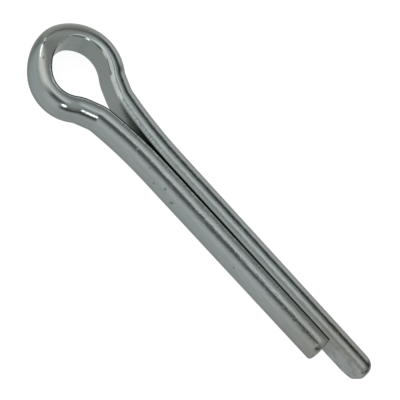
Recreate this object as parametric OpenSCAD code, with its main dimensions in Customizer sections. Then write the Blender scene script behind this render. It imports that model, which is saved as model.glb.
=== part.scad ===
// Cotter pin: one length of half-round wire, folded flat side inwards into an eye and two legs.
// It lies flat. X runs along the shank from the plane where the eye seats towards the tips,
// Y points to the side of the longer leg, and Z is square to the loop of the eye.

/* [Shank] */
// Diameter of the round shank that the two closed legs make together
shank_d = 5.7; // [4.5:0.1:6.6]
// Gap between the flat faces of the closed legs
leg_gap = 0.2; // [0.1:0.05:0.6]
// Rounding along both edges of the wire's flat face
edge_r = 0.3; // [0.25:0.05:0.5]
// How much slimmer, all round, bending leaves each stretch of the wire than the one before it
draw_down = 0.04; // [0.03:0.005:0.045]

/* [Legs] */
// Length of the short leg, from the plane where the eye seats
short_leg_l = 38; // [20:0.5:80]
// How much further the long leg reaches, to prise the legs apart by
prong_l = 6.2; // [2:0.1:12]
// Rounding round the end of the long leg
long_tip_r = 1.1; // [0.4:0.1:2]
// Rounding round the sheared end of the short leg
short_tip_r = 0.5; // [0.3:0.1:2]

/* [Eye] */
// Width of the hole that the wire is bent to, before it draws down
eye_w = 6.2; // [5.5:0.1:8.5]
// How far the eye hangs over towards the short leg
eye_shift = 0.15; // [0:0.05:0.4]
// How far the top of the crown leans towards the long leg
crown_lean = 0.45; // [0:0.05:0.8]
// Radius of the crown beside the long leg, as a share of the hole's half width there
long_crown_share = 0.72; // [0.6:0.02:1.1]
// Radius of the crown beside the short leg, as a share of the hole's half width there
short_crown_share = 1.04; // [0.6:0.02:1.1]
// Turn of the crown arc beside the long leg, in degrees
long_crown_turn = 40; // [30:1:50]
// Turn of the crown arc beside the short leg, in degrees
short_crown_turn = 50; // [30:1:55]

/* [Throat] */
// Bend radius of the flat face where the long leg leaves the eye
long_throat_r = 8.8; // [6:0.1:14]
// Bend radius of the flat face where the short leg leaves the eye
short_throat_r = 7.7; // [6:0.1:14]
// Radius of the slow curve in which the legs part before the throat
lead_r = 75; // [50:1:100]
// Slope that the slow curve reaches at the throat, in degrees
lead_angle = 8; // [3:0.5:9]
// Diameter of the hole that the pin is made for, on whose rim the eye seats
pin_hole_d = 6.75; // [6.7:0.05:7]

/* [Hidden] */
$fn = 180;

shank_r = shank_d / 2;
wire_h = shank_r - leg_gap / 2;

// Half width of the hole, lean, crown share, crown turn and throat radius on each side
long_side = [eye_w / 2 - eye_shift, crown_lean, long_crown_share, long_crown_turn, long_throat_r];
short_side = [eye_w / 2 + eye_shift, -crown_lean, short_crown_share, short_crown_turn, short_throat_r];

// Radii of the crown and shoulder arcs: the shoulder ends level with the hole's half width
function crown_r(side) = side[2] * (side[0] - side[1]);
function shoulder_r(side) =
    (side[0] - side[1] - crown_r(side) * sin(side[3])) / (1 - sin(side[3]));

// Centres of the arcs that the flat face follows, from the crown at X = 0 to the straight leg
function crown_c(side) = [crown_r(side), side[1]];
function shoulder_c(side) =
    crown_c(side) + (shoulder_r(side) - crown_r(side)) * [cos(side[3]), -sin(side[3])];
function throat_c(side) =
    shoulder_c(side) + (shoulder_r(side) + side[4]) * [sin(throat_a(side)), cos(throat_a(side))];
function lead_c(side) = throat_c(side) + (lead_r - side[4]) * [sin(lead_angle), cos(lead_angle)];

// Slope between shoulder and throat at which the leg ends half a gap from the shank's axis
function throat_a(side) = acos(
    (leg_gap / 2 + lead_r - (lead_r - side[4]) * cos(lead_angle) - shoulder_c(side)[1])
    / (shoulder_r(side) + side[4]));

// Where the outside of the parting legs is as wide as the pin's hole
seat_a = acos((lead_r + leg_gap / 2 - pin_hole_d / 2) / (lead_r - wire_h));
seat_x = lead_c(long_side)[0] - (lead_r - wire_h) * sin(seat_a);

// How far the ends of neighbouring bends run into each other
lap = 0.05;

// Half-round section: flat face on the Y axis, round side towards +X, both edges rounded.
// The inset makes it slimmer all round.
module wire_section(inset) {
    edge_y = sqrt(pow(shank_r - edge_r, 2) - pow(edge_r + leg_gap / 2, 2));
    edge_a = atan2(edge_y, edge_r + leg_gap / 2);
    out_x = (shank_r - inset) * cos(edge_a) - leg_gap / 2;
    out_y = (shank_r - inset) * sin(edge_a);
    intersection() {
        translate([-leg_gap / 2, 0]) circle(r = shank_r - inset);
        polygon([
            [inset, -edge_y], [out_x, -out_y], [shank_d, -out_y],
            [shank_d, out_y], [out_x, out_y], [inset, edge_y]]);
    }
    for (side = [-1, 1]) translate([edge_r, side * edge_y]) circle(r = edge_r - inset);
}

// One bend of the wire about a centre, with its flat face at radius r, lapping both neighbours
module bend(centre, r, from, turn, inset, flat_inside) {
    lap_a = lap / r * 180 / PI;
    translate(centre) rotate_extrude(angle = turn + 2 * lap_a, start = from - lap_a)
        translate([r, 0]) mirror([flat_inside ? 0 : 1, 0]) wire_section(inset);
}

// A round bar about the shank's axis whose end is rounded, to trim a leg to its length
module tip_form(end_x, tip_r) {
    rotate([0, 90, 0]) rotate_extrude() {
        square([shank_r - tip_r, end_x]);
        square([shank_r, end_x - tip_r]);
        translate([shank_r - tip_r, end_x - tip_r]) circle(r = tip_r);
    }
}

// Half the pin, from the middle of the crown to the tip of one leg, on the +Y side
module half_pin(side, crown_inset, end_x, tip_r) {
    translate([-seat_x, 0, 0]) {
        bend(crown_c(side), crown_r(side), 180 - side[3], side[3], crown_inset, true);
        bend(shoulder_c(side), shoulder_r(side), 90 - throat_a(side),
            90 - side[3] + throat_a(side), 3 * draw_down, true);
        bend(throat_c(side), side[4], 270 - throat_a(side), throat_a(side) - lead_angle,
            2 * draw_down, false);
        bend(lead_c(side), lead_r, 270 - lead_angle, lead_angle, draw_down, false);
    }
    straight_x = lead_c(side)[0] - seat_x;
    intersection() {
        translate([straight_x, leg_gap / 2, 0]) rotate([90, 0, 90])
            linear_extrude(end_x - straight_x) wire_section(0);
        tip_form(end_x, tip_r);
    }
}

module cotter_pin() {
    color("silver") {
        half_pin(long_side, 4 * draw_down, short_leg_l + prong_l, long_tip_r);
        mirror([0, 1, 0]) half_pin(short_side, 5 * draw_down, short_leg_l, short_tip_r);
    }
}

cotter_pin();
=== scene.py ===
import math

import bmesh
import bpy
from mathutils import Matrix, Vector


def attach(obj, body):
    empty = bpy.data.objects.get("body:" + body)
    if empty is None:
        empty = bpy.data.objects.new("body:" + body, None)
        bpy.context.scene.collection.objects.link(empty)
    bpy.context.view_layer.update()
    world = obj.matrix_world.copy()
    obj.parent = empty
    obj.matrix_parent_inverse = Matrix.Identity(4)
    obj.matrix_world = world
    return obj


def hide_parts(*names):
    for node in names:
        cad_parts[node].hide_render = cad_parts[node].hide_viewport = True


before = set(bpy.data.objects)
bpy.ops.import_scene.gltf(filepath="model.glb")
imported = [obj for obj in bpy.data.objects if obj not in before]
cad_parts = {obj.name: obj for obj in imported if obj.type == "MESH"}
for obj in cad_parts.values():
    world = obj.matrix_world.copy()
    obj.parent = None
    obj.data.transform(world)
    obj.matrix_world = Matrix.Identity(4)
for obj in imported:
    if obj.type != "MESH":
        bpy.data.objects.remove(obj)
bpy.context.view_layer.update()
mm = 0.001
print("frame loaded")

# The wire, in millimetres and degrees: a half-round bar bent flat side inwards, from the long
# leg's tip, round the eye, to the short leg's tip. Every bend is a radius of the flat face and a turn.
wire = {
    "shankRadius": 2.87,
    "gap": 0.15,
    "edgeChamfer": 0.18,
    # how finely it is made: points round the bar, cuts across the flat, the rings' spacing in
    # bends, at a depth behind the flat, and in straights, and the turn between a tip's rings
    "roundPoints": 104,
    "flatCuts": 22,
    "ringStep": 0.26,
    "ringDepth": 1.2,
    "straightStep": 0.4,
    "longTipStep": 9,
    "shortTipStep": 15,
    "smoothAngle": 18.0,
    "longTip": 44.68,
    "shortTip": 38.35,
    # each tip's rounding, as its width and its length: at the back, the near side, the far side
    "longTipRound": ((1.5, 1.5), (1.9, 0.95), (1.3, 1.9)),
    "shortTipRound": ((0.12, 0.12), (0.8, 0.7), (0.3, 0.3)),
    # the slope with which each tip's back stands out past its flat face
    "longTipSlant": 0.12,
    "shortTipSlant": 0.13,
    "crownX": -11.0,
    "crownLean": 0.44,
    "leadRadius": 67.5,
    "leadAngle": 8.0,
    # a section's size, its back's thickness, its roll, and how far its near side is pressed flat:
    # at the long tip, and at the end of each bend
    "tipSection": (1.0, 1.03, 0.4, 0.0),
    "sections": [
        # the long side: slow curve, both throat bends, shoulder, crown
        (1.0, 1.025, 0.4, 0.02), (0.985, 0.99, 1.4, 0.09), (0.975, 0.96, 2.4, 0.14),
        (0.95, 0.93, 5.2, 0.0), (0.95, 1.03, 2.6, 0.0),
        # the short side: crown, shoulder, both throat bends, slow curve
        (0.95, 1.0, 0.0, 0.0), (0.975, 1.0, 0.0, 0.0),
        (0.985, 1.0, 0.0, 0.0), (1.0, 1.01, 0.0, 0.0), (1.0, 1.018, 0.0, 0.0),
    ],
    "pressLeast": 0.001,
    "pressSoft": 0.03,
    # the hole's half width, the crown's radius and turn, the throat's radius, the radius of its
    # two tighter bends, and how far the leg closes on the other one, in radians
    "longSide": {"halfWidth": 3.175, "crownRadius": 2.046, "crownTurn": 40.0,
                 "throatRadius": 9.735, "throatBend": 7.0, "nip": 0.0},
    "shortSide": {"halfWidth": 3.463, "crownRadius": 4.072, "crownTurn": 50.0,
                  "throatRadius": 8.006, "throatBend": 5.2, "nip": 0.0042},
}


def deselectEverything():
    bpy.ops.object.select_all(action='DESELECT')
    bpy.context.view_layer.objects.active = None


def bendPlan(side, lean):
    # one side's bends, from the crown's middle to its straight leg, and where that leg starts;
    # each bend is a radius, a turn and the length of a straight after it
    crownTurn = math.radians(side["crownTurn"])
    leadAngle = math.radians(wire["leadAngle"])
    shoulderRadius = ((side["halfWidth"] - lean - side["crownRadius"] * math.sin(crownTurn))
                      / (1 - math.sin(crownTurn)))
    rise = shoulderRadius - side["crownRadius"]
    shoulderX = side["crownRadius"] + rise * math.cos(crownTurn)
    shoulderY = lean - rise * math.sin(crownTurn)
    throatReach = shoulderRadius + side["throatRadius"]
    throatAngle = math.acos((wire["gap"] / 2 + wire["leadRadius"] * (1 - math.cos(leadAngle))
                             + side["throatRadius"] * math.cos(leadAngle) - shoulderY) / throatReach)
    straightX = (wire["crownX"] + shoulderX + throatReach * math.sin(throatAngle)
                 + (wire["leadRadius"] - side["throatRadius"]) * math.sin(leadAngle))
    # the throat is two tighter bends with a straight between, over the same chord
    throatTurn = leadAngle - throatAngle
    throatStraight = 2 * (side["throatRadius"] - side["throatBend"]) * math.sin(-throatTurn / 2)
    bends = [
        (side["crownRadius"], crownTurn, 0),
        (shoulderRadius, math.pi / 2 + throatAngle - crownTurn, 0),
        (side["throatBend"], throatTurn / 2, throatStraight),
        (side["throatBend"], throatTurn / 2, 0),
        (wire["leadRadius"], side["nip"] - leadAngle, 0),
    ]
    return bends, straightX


class WirePen:
    # carries the open end ring of the wire along and writes how far it has come
    def __init__(self, obj, point, section):
        self.obj = obj
        self.point = Vector(point)
        self.heading = Vector((-1, 0, 0))
        self.length = 0.0
        self.scale, self.thin, self.roll, self.press = section
        self.tip = (1.0, 1.0, 1.0)
        self.slant = 0.0

    def outward(self):
        # from the flat face towards the round side
        return Vector((self.heading.y, -self.heading.x, 0))

    def shape(self):
        # sets the open ring from the section's own figures: its size, how far it is rolled
        # about its far edge, how thin its back is, and its place along the wire
        mesh = bmesh.from_edit_mesh(self.obj.data)
        section = mesh.verts.layers.float_vector["section"]
        place = mesh.verts.layers.float_vector["wireSpace"]
        away = self.outward()
        turned = math.radians(self.roll)
        cosine, sine = math.cos(turned), math.sin(turned)
        edge = wire["shankRadius"] * self.scale
        for vert in mesh.verts:
            if vert.select:
                out, side = vert[section].x, vert[section].y
                back = out * self.scale * self.thin * self.tip[0]
                across = side * self.scale * self.tip[1 if side > 0 else 2] + edge
                vert.co = self.point + away * ((back * cosine + across * sine) * mm)
                vert.co += self.heading * (self.slant * out * mm)
                vert.co.z = self.pressed(across * cosine - back * sine - edge) * mm
                vert[place] = Vector((self.length, out, side))

    def pressed(self, height):
        # a height over the middle plane, held softly under the pressed face
        soft = wire["pressSoft"]
        over = height - (wire["shankRadius"] * self.scale - self.press)
        if self.press < wire["pressLeast"] or over < -soft:
            return height
        return height - over + soft * (0 if over > soft else (over / soft - 1) * (1 - over / soft) / 4)

    def tipTo(self, depth, rounds):
        # the ring as it is at a depth behind a rounded end
        full = wire["shankRadius"]
        self.tip = tuple(1 - width / full * (1 - math.sqrt(1 - max(1 - depth / length, 0) ** 2))
                         for width, length in rounds)
        self.shape()

    def straight(self, length, steps=0):
        # an even run of rings, about a straight step apart unless their number is given
        steps = steps or round(length / wire["straightStep"])
        for _ in range(steps):
            move = self.heading * (length / steps * mm)
            bpy.ops.mesh.extrude_edges_move(TRANSFORM_OT_translate={"value": move})
            self.point += move
            self.length += length / steps
            self.shape()

    def bend(self, radius, turn, end):
        # a positive turn curls the flat face inwards
        steps = max(4, round(abs(turn) * (radius + wire["ringDepth"]) / wire["ringStep"]))
        angle = turn / steps
        turned = Matrix.Rotation(angle, 3, 'Z')
        centre = self.point - self.outward() * (math.copysign(radius, turn) * mm)
        start = (self.scale, self.thin, self.roll, self.press)
        for step in range(1, steps + 1):
            bpy.ops.mesh.spin(steps=1, angle=-angle, center=centre, axis=(0, 0, 1))
            self.point = centre + turned @ (self.point - centre)
            self.heading = turned @ self.heading
            blend = (1 - math.cos(math.pi * step / steps)) / 2
            self.scale, self.thin, self.roll, self.press = (a + (b - a) * blend for a, b in zip(start, end))
            self.length += abs(angle) * radius
            self.shape()


def pickByHeight(obj, low, high):
    # selects the section's points whose height over the shank's middle plane is in a range
    bpy.ops.mesh.select_all(action='DESELECT')
    mesh = bmesh.from_edit_mesh(obj.data)
    for vert in mesh.verts:
        vert.select_set(low * mm < vert.co.y < high * mm)
    mesh.select_flush_mode()
    bmesh.update_edit_mesh(obj.data)


def endRing(x):
    # a disc cut to the half-round section, its two sharp corners chamfered, without its face
    flat = wire["gap"] / 2
    chamfer = wire["edgeChamfer"]
    corner, touching = flat + 0.005, flat + 0.0002
    deselectEverything()
    bpy.ops.mesh.primitive_circle_add(vertices=wire["roundPoints"], radius=wire["shankRadius"] * mm,
                                      fill_type='NGON', location=(x * mm, 0, 0),
                                      rotation=(0, math.pi / 2, 0))
    obj = bpy.context.active_object
    bpy.ops.object.transform_apply(location=True, rotation=True, scale=True)
    bpy.ops.object.mode_set(mode='EDIT')
    bpy.ops.mesh.select_mode(type='VERT')
    bpy.ops.mesh.select_all(action='SELECT')
    bpy.ops.mesh.bisect(plane_co=(0, flat * mm, 0), plane_no=(0, 1, 0), clear_inner=True, threshold=1e-7)
    # the points next to the corners make room for the chamfer
    pickByHeight(obj, corner, flat + 1.6 * chamfer)
    bpy.ops.mesh.dissolve_verts()
    pickByHeight(obj, 0, corner)
    bpy.ops.mesh.bevel(offset=chamfer * mm, segments=1, affect='VERTICES')
    pickByHeight(obj, 0, touching)
    bpy.ops.mesh.subdivide(number_cuts=wire["flatCuts"])
    bpy.ops.mesh.select_all(action='SELECT')
    bpy.ops.mesh.delete(type='ONLY_FACE')
    mesh = bmesh.from_edit_mesh(obj.data)
    mesh.verts.layers.float_vector.new("wireSpace")
    section = mesh.verts.layers.float_vector.new("section")
    for vert in mesh.verts:
        vert[section] = Vector((vert.co.y / mm - flat, vert.co.z / mm, 0))
    bmesh.update_edit_mesh(obj.data)
    bpy.ops.mesh.select_all(action='SELECT')
    print("section drawn with", len(mesh.verts), "points")
    return obj


def tipDepths(rounds, turnStep):
    # the rings' depths behind a rounded end, closer together at its end
    reach = max(length for width, length in rounds)
    return [reach * (1 - math.cos(math.radians(turned))) for turned in range(0, 91, turnStep)]


def buildWire():
    pin = endRing(wire["longTip"])
    pin.name = "cotterPinWire"
    longBends, longStraightX = bendPlan(wire["longSide"], wire["crownLean"])
    shortBends, shortStraightX = bendPlan(wire["shortSide"], -wire["crownLean"])
    pen = WirePen(pin, (wire["longTip"] * mm, wire["gap"] / 2 * mm, 0), wire["tipSection"])

    depths = tipDepths(wire["longTipRound"], wire["longTipStep"])
    reach = depths[-1]
    pen.slant = -wire["longTipSlant"]
    pen.tipTo(0, wire["longTipRound"])
    for before, after in zip(depths, depths[1:]):
        pen.straight(after - before, 1)
        pen.slant = -wire["longTipSlant"] * (1 - after / reach)
        pen.tipTo(after, wire["longTipRound"])
    pen.straight(wire["longTip"] - reach - longStraightX)

    # the long side's bends are run backwards, so a straight comes before its bend
    plan = [(*bend, True) for bend in reversed(longBends)] + [(*bend, False) for bend in shortBends]
    for (radius, turn, straight, before), end in zip(plan, wire["sections"]):
        if straight and before:
            pen.straight(straight)
        pen.bend(radius, turn, end)
        if straight and not before:
            pen.straight(straight)

    depths = tipDepths(wire["shortTipRound"], wire["shortTipStep"])[::-1]
    reach = depths[0]
    pen.straight(wire["shortTip"] - reach - shortStraightX)
    for before, after in zip(depths, depths[1:]):
        pen.straight(before - after, 1)
        pen.slant = wire["shortTipSlant"] * (1 - after / reach)
        pen.tipTo(after, wire["shortTipRound"])

    # close both ends
    bpy.ops.mesh.select_all(action='DESELECT')
    bpy.ops.mesh.select_mode(type='EDGE')
    bpy.ops.mesh.select_non_manifold()
    bpy.ops.mesh.edge_face_add()
    bpy.ops.mesh.select_all(action='SELECT')
    bpy.ops.mesh.normals_make_consistent(inside=False)
    bpy.ops.object.mode_set(mode='OBJECT')
    bpy.ops.object.shade_smooth_by_angle(angle=math.radians(wire["smoothAngle"]))
    print("wire bent,", round(pen.length, 1), "mm long")
    return pin


# The plating. Places are in millimetres: along the wire from the long tip, out from its flat
# face, and across it. The depths of the grain, waves, streaks and dings are in metres.
zinc = {
    "color": (0.263, 0.289, 0.283, 1.0),
    "streakColor": (0.228, 0.258, 0.250, 1.0),
    "roughness": (0.07, 0.12),
    "grainRange": (0.3, 0.7),
    "streakStretch": (0.35, 7.0, 7.0),
    "streakRange": (0.35, 0.55),
    "streakHeight": 0.000008,
    "grainScale": 3.2,
    "grainHeight": 0.000016,
    "fineRoughness": 0.6,
    "waveScale": 0.55,
    "waveHeight": 0.000035,
    # the plating is warmer and darker towards the tips, from and to these metres along the shank
    "tipTint": (0.925, 0.84, 0.795, 1.0),
    "tipTintFrom": (0.0275, 0.037),
    # painted shade: the flats are painted slightly darker and greener, standing in for their dim reflection,
    # and much darker in the narrow gap below the eye, where shade falls
    "flatDepth": (0.02, 0.1),
    "flatShadeTint": (0.95, 1.0, 0.94, 1.0),
    "gapShadeTint": (0.40, 0.46, 0.42, 1.0),
    "gapFrom": (-0.002, 0.003),
    "gapTo": (0.02, 0.03),
    # painted reflection: the flat that shows past the short leg is painted brighter, and mottled, standing in
    # for the brighter reflection it shows
    "paintedSheenColor": (0.345, 0.368, 0.352, 1.0),
    "paintedSheenEnd": (4.5, 6.5),
    "blotchScale": 0.5,
    "blotchRange": (0.38, 0.56),
    # each ding: where it is along the wire, out from the flat and across, and its radius
    "dings": [
        (83.7, 2.5, 1.2, 0.32), (82.8, 2.6, 1.5, 0.16), (81.9, 2.1, 1.9, 0.2), (78.7, 1.75, 2.2, 0.2),
        (80.4, 2.5, 1.3, 0.15), (58.6, 1.67, 2.27, 0.22), (59.9, 1.16, 2.65, 0.16), (5.3, 0.1, 2.5, 0.3),
        (6.2, 0.05, 2.3, 0.2), (94.8, 2.4, 1.5, 0.14), (75.9, 1.4, 2.5, 0.14),
    ],
    "dingRagged": 0.55,
    "dingSoft": 0.25,
    "dingColor": (0.15, 0.155, 0.16, 1.0),
    "dingDepth": 0.00003,
    # the surface is smoother round the eye: its middle along the wire, and how far that reaches
    "eyeMiddle": 62.0,
    "eyeReach": (10.0, 20.0),
    "eyeStrength": 0.4,
}


class NodeTable:
    # adds nodes to a material or world and joins them; most calls give the new node's output
    def __init__(self, tree):
        self.tree = tree

    def add(self, kind, **settings):
        node = self.tree.nodes.new(kind)
        for key, value in settings.items():
            setattr(node, key, value)
        return node

    def feed(self, value, socket):
        # a socket takes another node's output, or a fixed value
        if isinstance(value, bpy.types.NodeSocket):
            self.tree.links.new(value, socket)
        else:
            socket.default_value = value

    def noise(self, vector, scale, detail, roughness=0.5):
        node = self.add("ShaderNodeTexNoise", noise_dimensions='3D')
        names = ("Vector", "Scale", "Detail", "Roughness")
        for name, value in zip(names, (vector, scale, detail, roughness)):
            self.feed(value, node.inputs[name])
        return node.outputs["Fac"]

    def spread(self, value, low, high, outLow, outHigh):
        node = self.add("ShaderNodeMapRange", clamp=True)
        names = ("Value", "From Min", "From Max", "To Min", "To Max")
        for name, number in zip(names, (value, low, high, outLow, outHigh)):
            self.feed(number, node.inputs[name])
        return node.outputs["Result"]

    def reckon(self, operation, *values):
        node = self.add("ShaderNodeMath", operation=operation)
        for value, socket in zip(values, node.inputs):
            self.feed(value, socket)
        return node.outputs[0]

    def mix(self, share, first, second, blend='MIX'):
        node = self.add("ShaderNodeMix", data_type='RGBA', blend_type=blend)
        for name, value in (("Factor", share), ("A", first), ("B", second)):
            self.feed(value, node.inputs[name])
        return node.outputs["Result"]

    def axes(self, vector):
        node = self.add("ShaderNodeSeparateXYZ")
        self.feed(vector, node.inputs[0])
        return node.outputs["X"], node.outputs["Y"], node.outputs["Z"]

    def spot(self, vector, grain, centre, radius):
        # 1 in the middle of a ragged round spot, 0 outside it
        away = self.add("ShaderNodeVectorMath", operation='DISTANCE')
        self.feed(vector, away.inputs[0])
        self.feed(centre, away.inputs[1])
        ragged = self.reckon('MULTIPLY_ADD', grain, zinc["dingRagged"], away.outputs["Value"])
        edge = radius + zinc["dingRagged"] / 2
        return self.spread(ragged, edge * (1 - zinc["dingSoft"]), edge, 1.0, 0.0)

    def bump(self, height, distance, strength, normal=None):
        node = self.add("ShaderNodeBump")
        for name, value in (("Strength", strength), ("Distance", distance), ("Height", height)):
            self.feed(value, node.inputs[name])
        if normal:
            self.feed(normal, node.inputs["Normal"])
        return node.outputs["Normal"]


def zincFinish():
    material = bpy.data.materials.new("zincPlate")
    material.use_nodes = True
    table = NodeTable(material.node_tree)
    shader = material.node_tree.nodes["Principled BSDF"]
    shader.inputs["Metallic"].default_value = 1.0

    place = table.add("ShaderNodeAttribute", attribute_name="wireSpace").outputs["Vector"]
    along, away, _ = table.axes(place)
    shankX, _, _ = table.axes(table.add("ShaderNodeTexCoord").outputs["Object"])
    stretch = table.add("ShaderNodeMapping")
    table.feed(place, stretch.inputs["Vector"])
    table.feed(zinc["streakStretch"], stretch.inputs["Scale"])
    streaks = table.noise(stretch.outputs["Vector"], 1.0, 3.0, zinc["fineRoughness"])
    grain = table.noise(place, zinc["grainScale"], 3.0, zinc["fineRoughness"])
    waves = table.noise(place, zinc["waveScale"], 2.0)
    blotches = table.noise(place, zinc["blotchScale"], 2.0)

    # drawing streaks, then the tips, then painted shade on the flats and in the gap, and a painted brighter
    # reflection on the end of the flat
    clear = table.spread(streaks, *zinc["streakRange"], 0.0, 1.0)
    color = table.mix(clear, zinc["streakColor"], zinc["color"])
    nearTips = table.spread(shankX, *zinc["tipTintFrom"], 0.0, 1.0)
    color = table.mix(nearTips, color, zinc["tipTint"], 'MULTIPLY')
    flats = table.spread(away, *zinc["flatDepth"], 1.0, 0.0)
    # painted shade: the flat faces are tinted a little darker and greener
    color = table.mix(flats, color, zinc["flatShadeTint"], 'MULTIPLY')
    # painted shade: the flats are darkened strongly in the narrow gap between the legs below the eye
    gap = table.reckon('MULTIPLY', table.spread(shankX, *zinc["gapFrom"], 0.0, 1.0),
                       table.spread(shankX, *zinc["gapTo"], 1.0, 0.0))
    color = table.mix(table.reckon('MULTIPLY', gap, flats), color, zinc["gapShadeTint"], 'MULTIPLY')
    # painted reflection: the end of the flat past the short leg is painted brighter, in blotches
    paintedSheenShare = table.reckon('MULTIPLY', table.spread(along, *zinc["paintedSheenEnd"], 1.0, 0.0), flats)
    paintedSheenShare = table.reckon('MULTIPLY', paintedSheenShare, table.spread(blotches, *zinc["blotchRange"], 0.0, 1.0))
    color = table.mix(paintedSheenShare, color, zinc["paintedSheenColor"])

    # small dark dings
    dings = 0.0
    for *centre, radius in zinc["dings"]:
        dings = table.reckon('MAXIMUM', dings, table.spot(place, grain, centre, radius))
    color = table.mix(dings, color, zinc["dingColor"])
    table.feed(color, shader.inputs["Base Color"])
    table.feed(table.spread(grain, *zinc["grainRange"], *zinc["roughness"]), shader.inputs["Roughness"])

    fromEye = table.reckon('ABSOLUTE', table.reckon('SUBTRACT', along, zinc["eyeMiddle"]))
    strength = table.spread(fromEye, *zinc["eyeReach"], zinc["eyeStrength"], 1.0)
    normal = table.bump(waves, zinc["waveHeight"], strength)
    normal = table.bump(grain, zinc["grainHeight"], strength, normal)
    normal = table.bump(streaks, zinc["streakHeight"], strength, normal)
    normal = table.bump(dings, -zinc["dingDepth"], 1.0, normal)
    table.feed(normal, shader.inputs["Normal"])
    print("zinc plating made")
    return material


# Where the camera stands, in degrees and millimetres: how far it leans from straight above
# towards -Y and -X, and how far the shank slants in its picture
view = {
    "lean": 17.119,
    "tip": 5.453,
    "slant": 47.517,
    "away": 161.85,
    "target": (14.42, 0.7216, 0),
    "lens": 117.0,
    "sensor": 36.0,
    "clipStart": 0.001,
}


def placeCamera():
    lean, tip, slant = (math.radians(view[key]) for key in ("lean", "tip", "slant"))
    back = Vector((-math.sin(tip) * math.cos(lean), -math.sin(lean), math.cos(lean) * math.cos(tip)))
    back.normalize()
    along = (Vector((1, 0, 0)) - back * back.x).normalized()
    across = back.cross(along)
    right = along * math.cos(slant) + across * math.sin(slant)
    up = across * math.cos(slant) - along * math.sin(slant)
    lens = bpy.data.cameras.new("camera")
    lens.lens = view["lens"]
    lens.sensor_width = view["sensor"]
    lens.clip_start = view["clipStart"]
    cam = bpy.data.objects.new("camera", lens)
    bpy.context.scene.collection.objects.link(cam)
    place = Matrix((right, up, back)).transposed().to_4x4()
    place.translation = (Vector(view["target"]) + back * view["away"]) * mm
    cam.matrix_world = place
    bpy.context.scene.camera = cam
    print("camera placed")


studio = {
    "paper": (0.36, 0.36, 0.36, 1.0),
    "paperRoughness": 0.9,
    "paperGlow": 0.86,
    "paperSize": 3.0,
    "paperPlace": (0.014, 0, -0.00288),
    # half the brightness of the surroundings round the wire's length: 0 degrees is level with
    # +Y, 90 is above and -90 below; a third number warms a stop, and 32 stops are the most
    "warmth": -0.03,
    "overShank": [
        (-180, 1.05), (-150, 0.98), (-132, 0.88), (-112, 0.58), (-78, 0.48), (-42, 0.58), (-24, 0.86),
        (-12, 1.32), (-5, 0.72), (0, 0.3), (5, 0.05), (10, 0.06), (14, 0.26), (26, 0.9), (34, 1.5),
        (42, 1.55), (47, 1.0), (53, 0.62), (60, 1.02), (68, 0.7), (80, 0.52), (94, 0.5), (104, 1.05),
        (118, 1.76), (121.5, 1.4), (125, 0.36, 0.0), (132, 0.21, 0.0), (138, 0.26, 0.0), (144, 0.6),
        (151, 1.04), (163, 1.24), (180, 1.05),
    ],
    "overCrown": [
        (-180, 1.0), (-150, 0.97), (-130, 0.84), (-112, 0.64), (-98, 0.5), (-75, 0.56, 0.05),
        (-55, 0.76, 0.05), (-40, 0.76, 0.05), (-20, 0.68, 0.05), (-6, 0.62, 0.05), (4, 0.56, 0.05),
        (13, 0.36, 0.05), (21, 0.38, 0.03), (30, 0.66, 0.03), (45, 0.8, 0.03), (60, 0.78, 0.03),
        (75, 0.6, 0.03), (88, 0.56, 0.05), (97, 0.76, 0.05), (104, 1.3, 0.05), (111, 1.7, 0.05),
        (120, 1.9, 0.05), (130, 1.8, 0.05), (137, 1.35, 0.0), (142, 1.05, 0.0), (152, 1.0), (180, 1.0),
    ],
    "overThroat": [
        (-180, 1.05), (-165, 0.93), (-140, 0.88), (-120, 0.8), (-105, 0.66), (-85, 0.56), (-60, 0.6),
        (-35, 0.42), (-24, 0.34), (-18, 0.28), (-13, 0.24), (-8, 0.1), (-2, 0.05), (6, 0.05), (13, 0.3),
        (20, 0.55), (30, 0.95), (36, 0.88), (46, 0.66), (60, 0.72), (72, 0.6), (84, 0.48), (94, 0.8),
        (105, 0.88), (120, 0.84), (130, 0.74), (137, 0.52, 0.0), (147, 0.42, 0.0), (153, 0.16, 0.0),
        (161, 0.15, 0.0), (168, 0.7), (180, 1.05),
    ],
    # how far along X a direction points where one set of surroundings gives way to the next
    "crownRange": (-0.42, -0.05),
    "throatRange": (0.27, 0.40),
    # each soft box: the direction it is seen in from a point of the pin, its size and radiance,
    # how far it is tilted, its distance, and how widely its light spreads
    "lamps": {
        "keyLamp": {"toward": (0.385, -0.73, 0.56), "target": (-0.002, -0.004, 0.001), "size": (0.058, 0.048),
                    "radiance": 12.0, "tilt": 0, "distance": 0.3, "spread": 12},
        "crownLamp": {"toward": (-0.95, -0.08, 0.21), "target": (0, 0, 0), "size": (0.72, 0.075),
                      "radiance": 3.2, "tilt": 42, "distance": 1.2, "spread": 180},
        "topLamp": {"toward": (-0.12, 0.372, 0.92), "target": (0, 0, 0), "size": (0.40, 0.85),
                    "radiance": 1.15, "tilt": 0, "distance": 1.2, "spread": 180},
    },
}


def rampOf(table, stops, angle):
    # one ramp right round
    node = table.add("ShaderNodeValToRGB")
    ramp = node.color_ramp
    for index, (turn, level, *warmth) in enumerate(stops):
        place = (turn + 180) / 360
        stop = ramp.elements[index] if index < 2 else ramp.elements.new(place)
        stop.position = place
        warm = warmth[0] if warmth else studio["warmth"]
        stop.color = (level * (1 + warm) / 2, level / 2, level * (1 - max(warm, 0)) / 2, 1)
    table.feed(angle, node.inputs["Fac"])
    return node.outputs["Color"]


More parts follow.
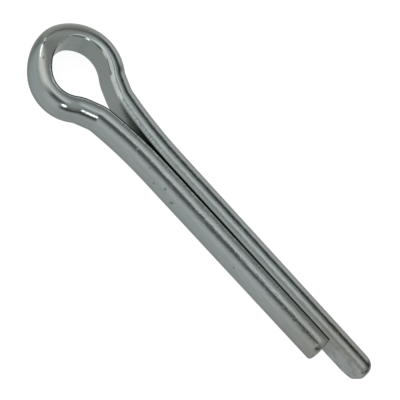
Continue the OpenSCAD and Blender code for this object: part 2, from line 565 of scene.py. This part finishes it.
def studioWorld():
    world = bpy.data.worlds.new("studio")
    bpy.context.scene.world = world
    world.use_nodes = True
    table = NodeTable(world.node_tree)
    sky = world.node_tree.nodes["Background"]
    sky.inputs["Strength"].default_value = 1.0
    eastward, northward, upward = table.axes(table.add("ShaderNodeTexCoord").outputs["Generated"])
    around = table.spread(table.reckon('ARCTAN2', upward, northward), -math.pi, math.pi, 0, 1)
    shank, crown, throat = (rampOf(table, studio[name], around)
                            for name in ("overShank", "overCrown", "overThroat"))
    color = table.mix(table.spread(eastward, *studio["crownRange"], 0, 1), crown, shank)
    color = table.mix(table.spread(eastward, *studio["throatRange"], 0, 1), color, throat)
    # the ramps hold half the brightness, and the camera sees plain white
    color = table.mix(1.0, color, color, 'ADD')
    cameraRay = table.add("ShaderNodeLightPath").outputs["Is Camera Ray"]
    table.feed(table.mix(cameraRay, color, (1, 1, 1, 1)), sky.inputs["Color"])
    print("surroundings made")


def paperFloor():
    deselectEverything()
    bpy.ops.mesh.primitive_plane_add(size=studio["paperSize"], location=studio["paperPlace"])
    floor = bpy.context.active_object
    floor.name = "floor"
    paper = bpy.data.materials.new("paper")
    paper.use_nodes = True
    table = NodeTable(paper.node_tree)
    shader = paper.node_tree.nodes["Principled BSDF"]
    shader.inputs["Base Color"].default_value = studio["paper"]
    shader.inputs["Roughness"].default_value = studio["paperRoughness"]
    shader.inputs["Specular IOR Level"].default_value = 0.0
    shader.inputs["Emission Color"].default_value = (1, 1, 1, 1)
    cameraRay = table.add("ShaderNodeLightPath").outputs["Is Camera Ray"]
    table.feed(table.reckon('MULTIPLY', cameraRay, studio["paperGlow"]), shader.inputs["Emission Strength"])
    floor.visible_glossy = False
    floor.data.materials.append(paper)
    print("paper laid")


def softBox(name, toward, target, size, radiance, tilt, distance, spread):
    toward = Vector(toward).normalized()
    data = bpy.data.lights.new(name, 'AREA')
    data.shape = 'RECTANGLE'
    data.size, data.size_y = size
    data.energy = radiance * math.pi * size[0] * size[1]
    if spread < 180:
        # a narrow spread keeps the light on its target, at the same radiance
        half = math.radians(spread / 2)
        data.spread = 2 * half
        data.energy *= 1 - half / math.tan(half)
    obj = bpy.data.objects.new(name, data)
    bpy.context.scene.collection.objects.link(obj)
    obj.location = Vector(target) + toward * distance
    facing = toward.to_track_quat('Z', 'Y').to_matrix() @ Matrix.Rotation(math.radians(tilt), 3, 'Z')
    obj.rotation_euler = facing.to_euler()
    print(name, "hung")


pin = buildWire()
pin.data.materials.append(zincFinish())
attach(pin, "root")
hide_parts("cotter_pin")

placeCamera()
studioWorld()
paperFloor()
for name, settings in studio["lamps"].items():
    softBox(name, **settings)
bpy.context.scene.view_settings.view_transform = 'Standard'
